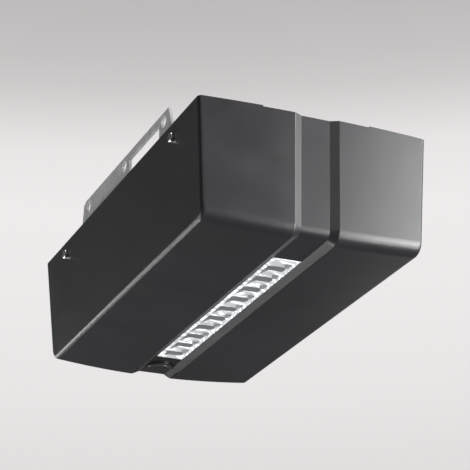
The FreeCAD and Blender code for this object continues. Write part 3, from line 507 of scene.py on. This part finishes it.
def floor():
    """A pale floor that shows in every view and doesn't light the head."""
    level = cad_box[0].z - FLOOR_DROP
    mesh = bpy.data.meshes.new("floor")
    corners = [(-FLOOR_HALF, -FLOOR_HALF), (FLOOR_HALF, -FLOOR_HALF),
               (FLOOR_HALF, FLOOR_HALF), (-FLOOR_HALF, FLOOR_HALF)]
    mesh.from_pydata([(x, y, level) for x, y in corners], [], [(0, 1, 2, 3)])
    plane = bpy.data.objects.new("floor", mesh)
    bpy.context.scene.collection.objects.link(plane)
    s = Shader("floor", (0.62, 0.61, 0.615), 0.7,
               Emission_Color=(0.66, 0.65, 0.655, 1), Emission_Strength=FLOOR_GLOW)
    s.vary_color(s.noise(1.5, 3), (0.58, 0.57, 0.575))
    mesh.materials.append(s.material)
    plane.visible_diffuse = plane.visible_glossy = plane.visible_transmission = False


PANEL_AWAY, PANEL_SIZE = 2.4, 0.9       # metres
PANEL_TARGET = Vector((0, 0, -0.05))


def area_light(name, azimuth, elevation, power):
    """A soft panel that faces the head from a direction; azimuth 0 is from -Y, 90 from +X."""
    a, e = math.radians(azimuth), math.radians(elevation)
    away = Vector((math.sin(a) * math.cos(e), -math.cos(a) * math.cos(e), math.sin(e)))
    data = bpy.data.lights.new(name, "AREA")
    data.shape = "RECTANGLE"
    data.size, data.size_y = PANEL_SIZE, PANEL_SIZE
    data.energy = power
    lamp = bpy.data.objects.new(name, data)
    lamp.location = PANEL_TARGET + away * PANEL_AWAY
    lamp.rotation_mode = "QUATERNION"
    lamp.rotation_quaternion = away.to_track_quat("Z", "Y")
    lamp.visible_camera = False
    bpy.context.scene.collection.objects.link(lamp)


WORLD_LIGHT = 0.09                      # the even light that reaches the head
# The backdrop's grey levels by height: the sine of the angle above the horizon, linear grey.
BACKDROP = (
    (0.0, 0.73), (0.284, 0.745), (0.32, 0.795), (0.374, 0.831), (0.422, 0.847), (0.453, 0.799),
    (0.468, 0.708), (0.484, 0.607), (0.499, 0.558), (0.526, 0.503), (1.0, 0.47),
)


def backdrop():
    """Pale gradient behind the object, and a dimmer even light on it."""
    world = bpy.data.worlds.new("studio")
    bpy.context.scene.world = world
    world.use_nodes = True
    tree = world.node_tree
    tree.nodes.clear()
    where = tree.nodes.new("ShaderNodeTexCoord")
    split = tree.nodes.new("ShaderNodeSeparateXYZ")
    ramp = tree.nodes.new("ShaderNodeValToRGB")
    tree.links.new(where.outputs["Generated"], split.inputs[0])
    tree.links.new(split.outputs["Z"], ramp.inputs[0])
    ramp.color_ramp.elements[0].position = BACKDROP[0][0]
    ramp.color_ramp.elements[1].position = BACKDROP[-1][0]
    for place, _ in BACKDROP[1:-1]:
        ramp.color_ramp.elements.new(place)
    for element, (_, grey) in zip(ramp.color_ramp.elements, BACKDROP):
        element.color = (grey * 1.02, grey * 0.985, grey * 0.99, 1)
    seen = tree.nodes.new("ShaderNodeBackground")
    lit = tree.nodes.new("ShaderNodeBackground")
    lit.inputs["Color"].default_value = (1, 1, 1, 1)
    lit.inputs["Strength"].default_value = WORLD_LIGHT
    tree.links.new(ramp.outputs[0], seen.inputs["Color"])
    ray = tree.nodes.new("ShaderNodeLightPath")
    mix = tree.nodes.new("ShaderNodeMixShader")
    out = tree.nodes.new("ShaderNodeOutputWorld")
    tree.links.new(ray.outputs["Is Camera Ray"], mix.inputs[0])
    tree.links.new(lit.outputs[0], mix.inputs[1])
    tree.links.new(seen.outputs[0], mix.inputs[2])
    tree.links.new(mix.outputs[0], out.inputs[0])


def camera():
    data = bpy.data.cameras.new("camera")
    data.lens, data.sensor_width = LENS, SENSOR
    cam = bpy.data.objects.new("camera", data)
    yaw, pitch, roll = (math.radians(v) for v in (YAW, PITCH, ROLL))
    forward = Vector((math.sin(yaw) * math.cos(pitch),
                      math.cos(yaw) * math.cos(pitch),
                      math.sin(pitch)))
    level = Vector((math.cos(yaw), -math.sin(yaw), 0))
    above = level.cross(forward)
    right = level * math.cos(roll) + above * math.sin(roll)
    up = above * math.cos(roll) - level * math.sin(roll)
    cam.matrix_world = Matrix((
        (right.x, up.x, -forward.x, CAMERA_AT.x),
        (right.y, up.y, -forward.y, CAMERA_AT.y),
        (right.z, up.z, -forward.z, CAMERA_AT.z),
        (0, 0, 0, 1)))
    bpy.context.scene.collection.objects.link(cam)
    bpy.context.scene.camera = cam


# Soft panels round the head: azimuth, elevation, watts. The powers were fitted to the
# photograph's tones, except the overhead one, which lights the top face and the floor.
PANELS = {
    "key": (45, -5, 78.0),
    "key_top": (45, 15, 25.8),
    "key_low": (45, -25, 31.4),
    "right": (67.5, 15, 10.8),
    "front": (-22.5, 15, 4.1),
    "left_low": (-112.5, -25, 20.9),
    "left_back": (-157.5, -5, 16.5),
    "left_rim": (-150, -45, 36.4),
    "right_back": (135, -5, 2.1),
    "overhead": (0, 88, 40.0),
}


def lights():
    for name, (azimuth, elevation, power) in PANELS.items():
        area_light(name, azimuth, elevation, power)


dress_nodes()
light_cups()
light_bars()
light_facets()
painted_shade_wedges()
light_rails()
light_window()
flap_bead()
floor()
backdrop()
camera()
lights()
bpy.context.scene.view_settings.view_transform = "Standard"
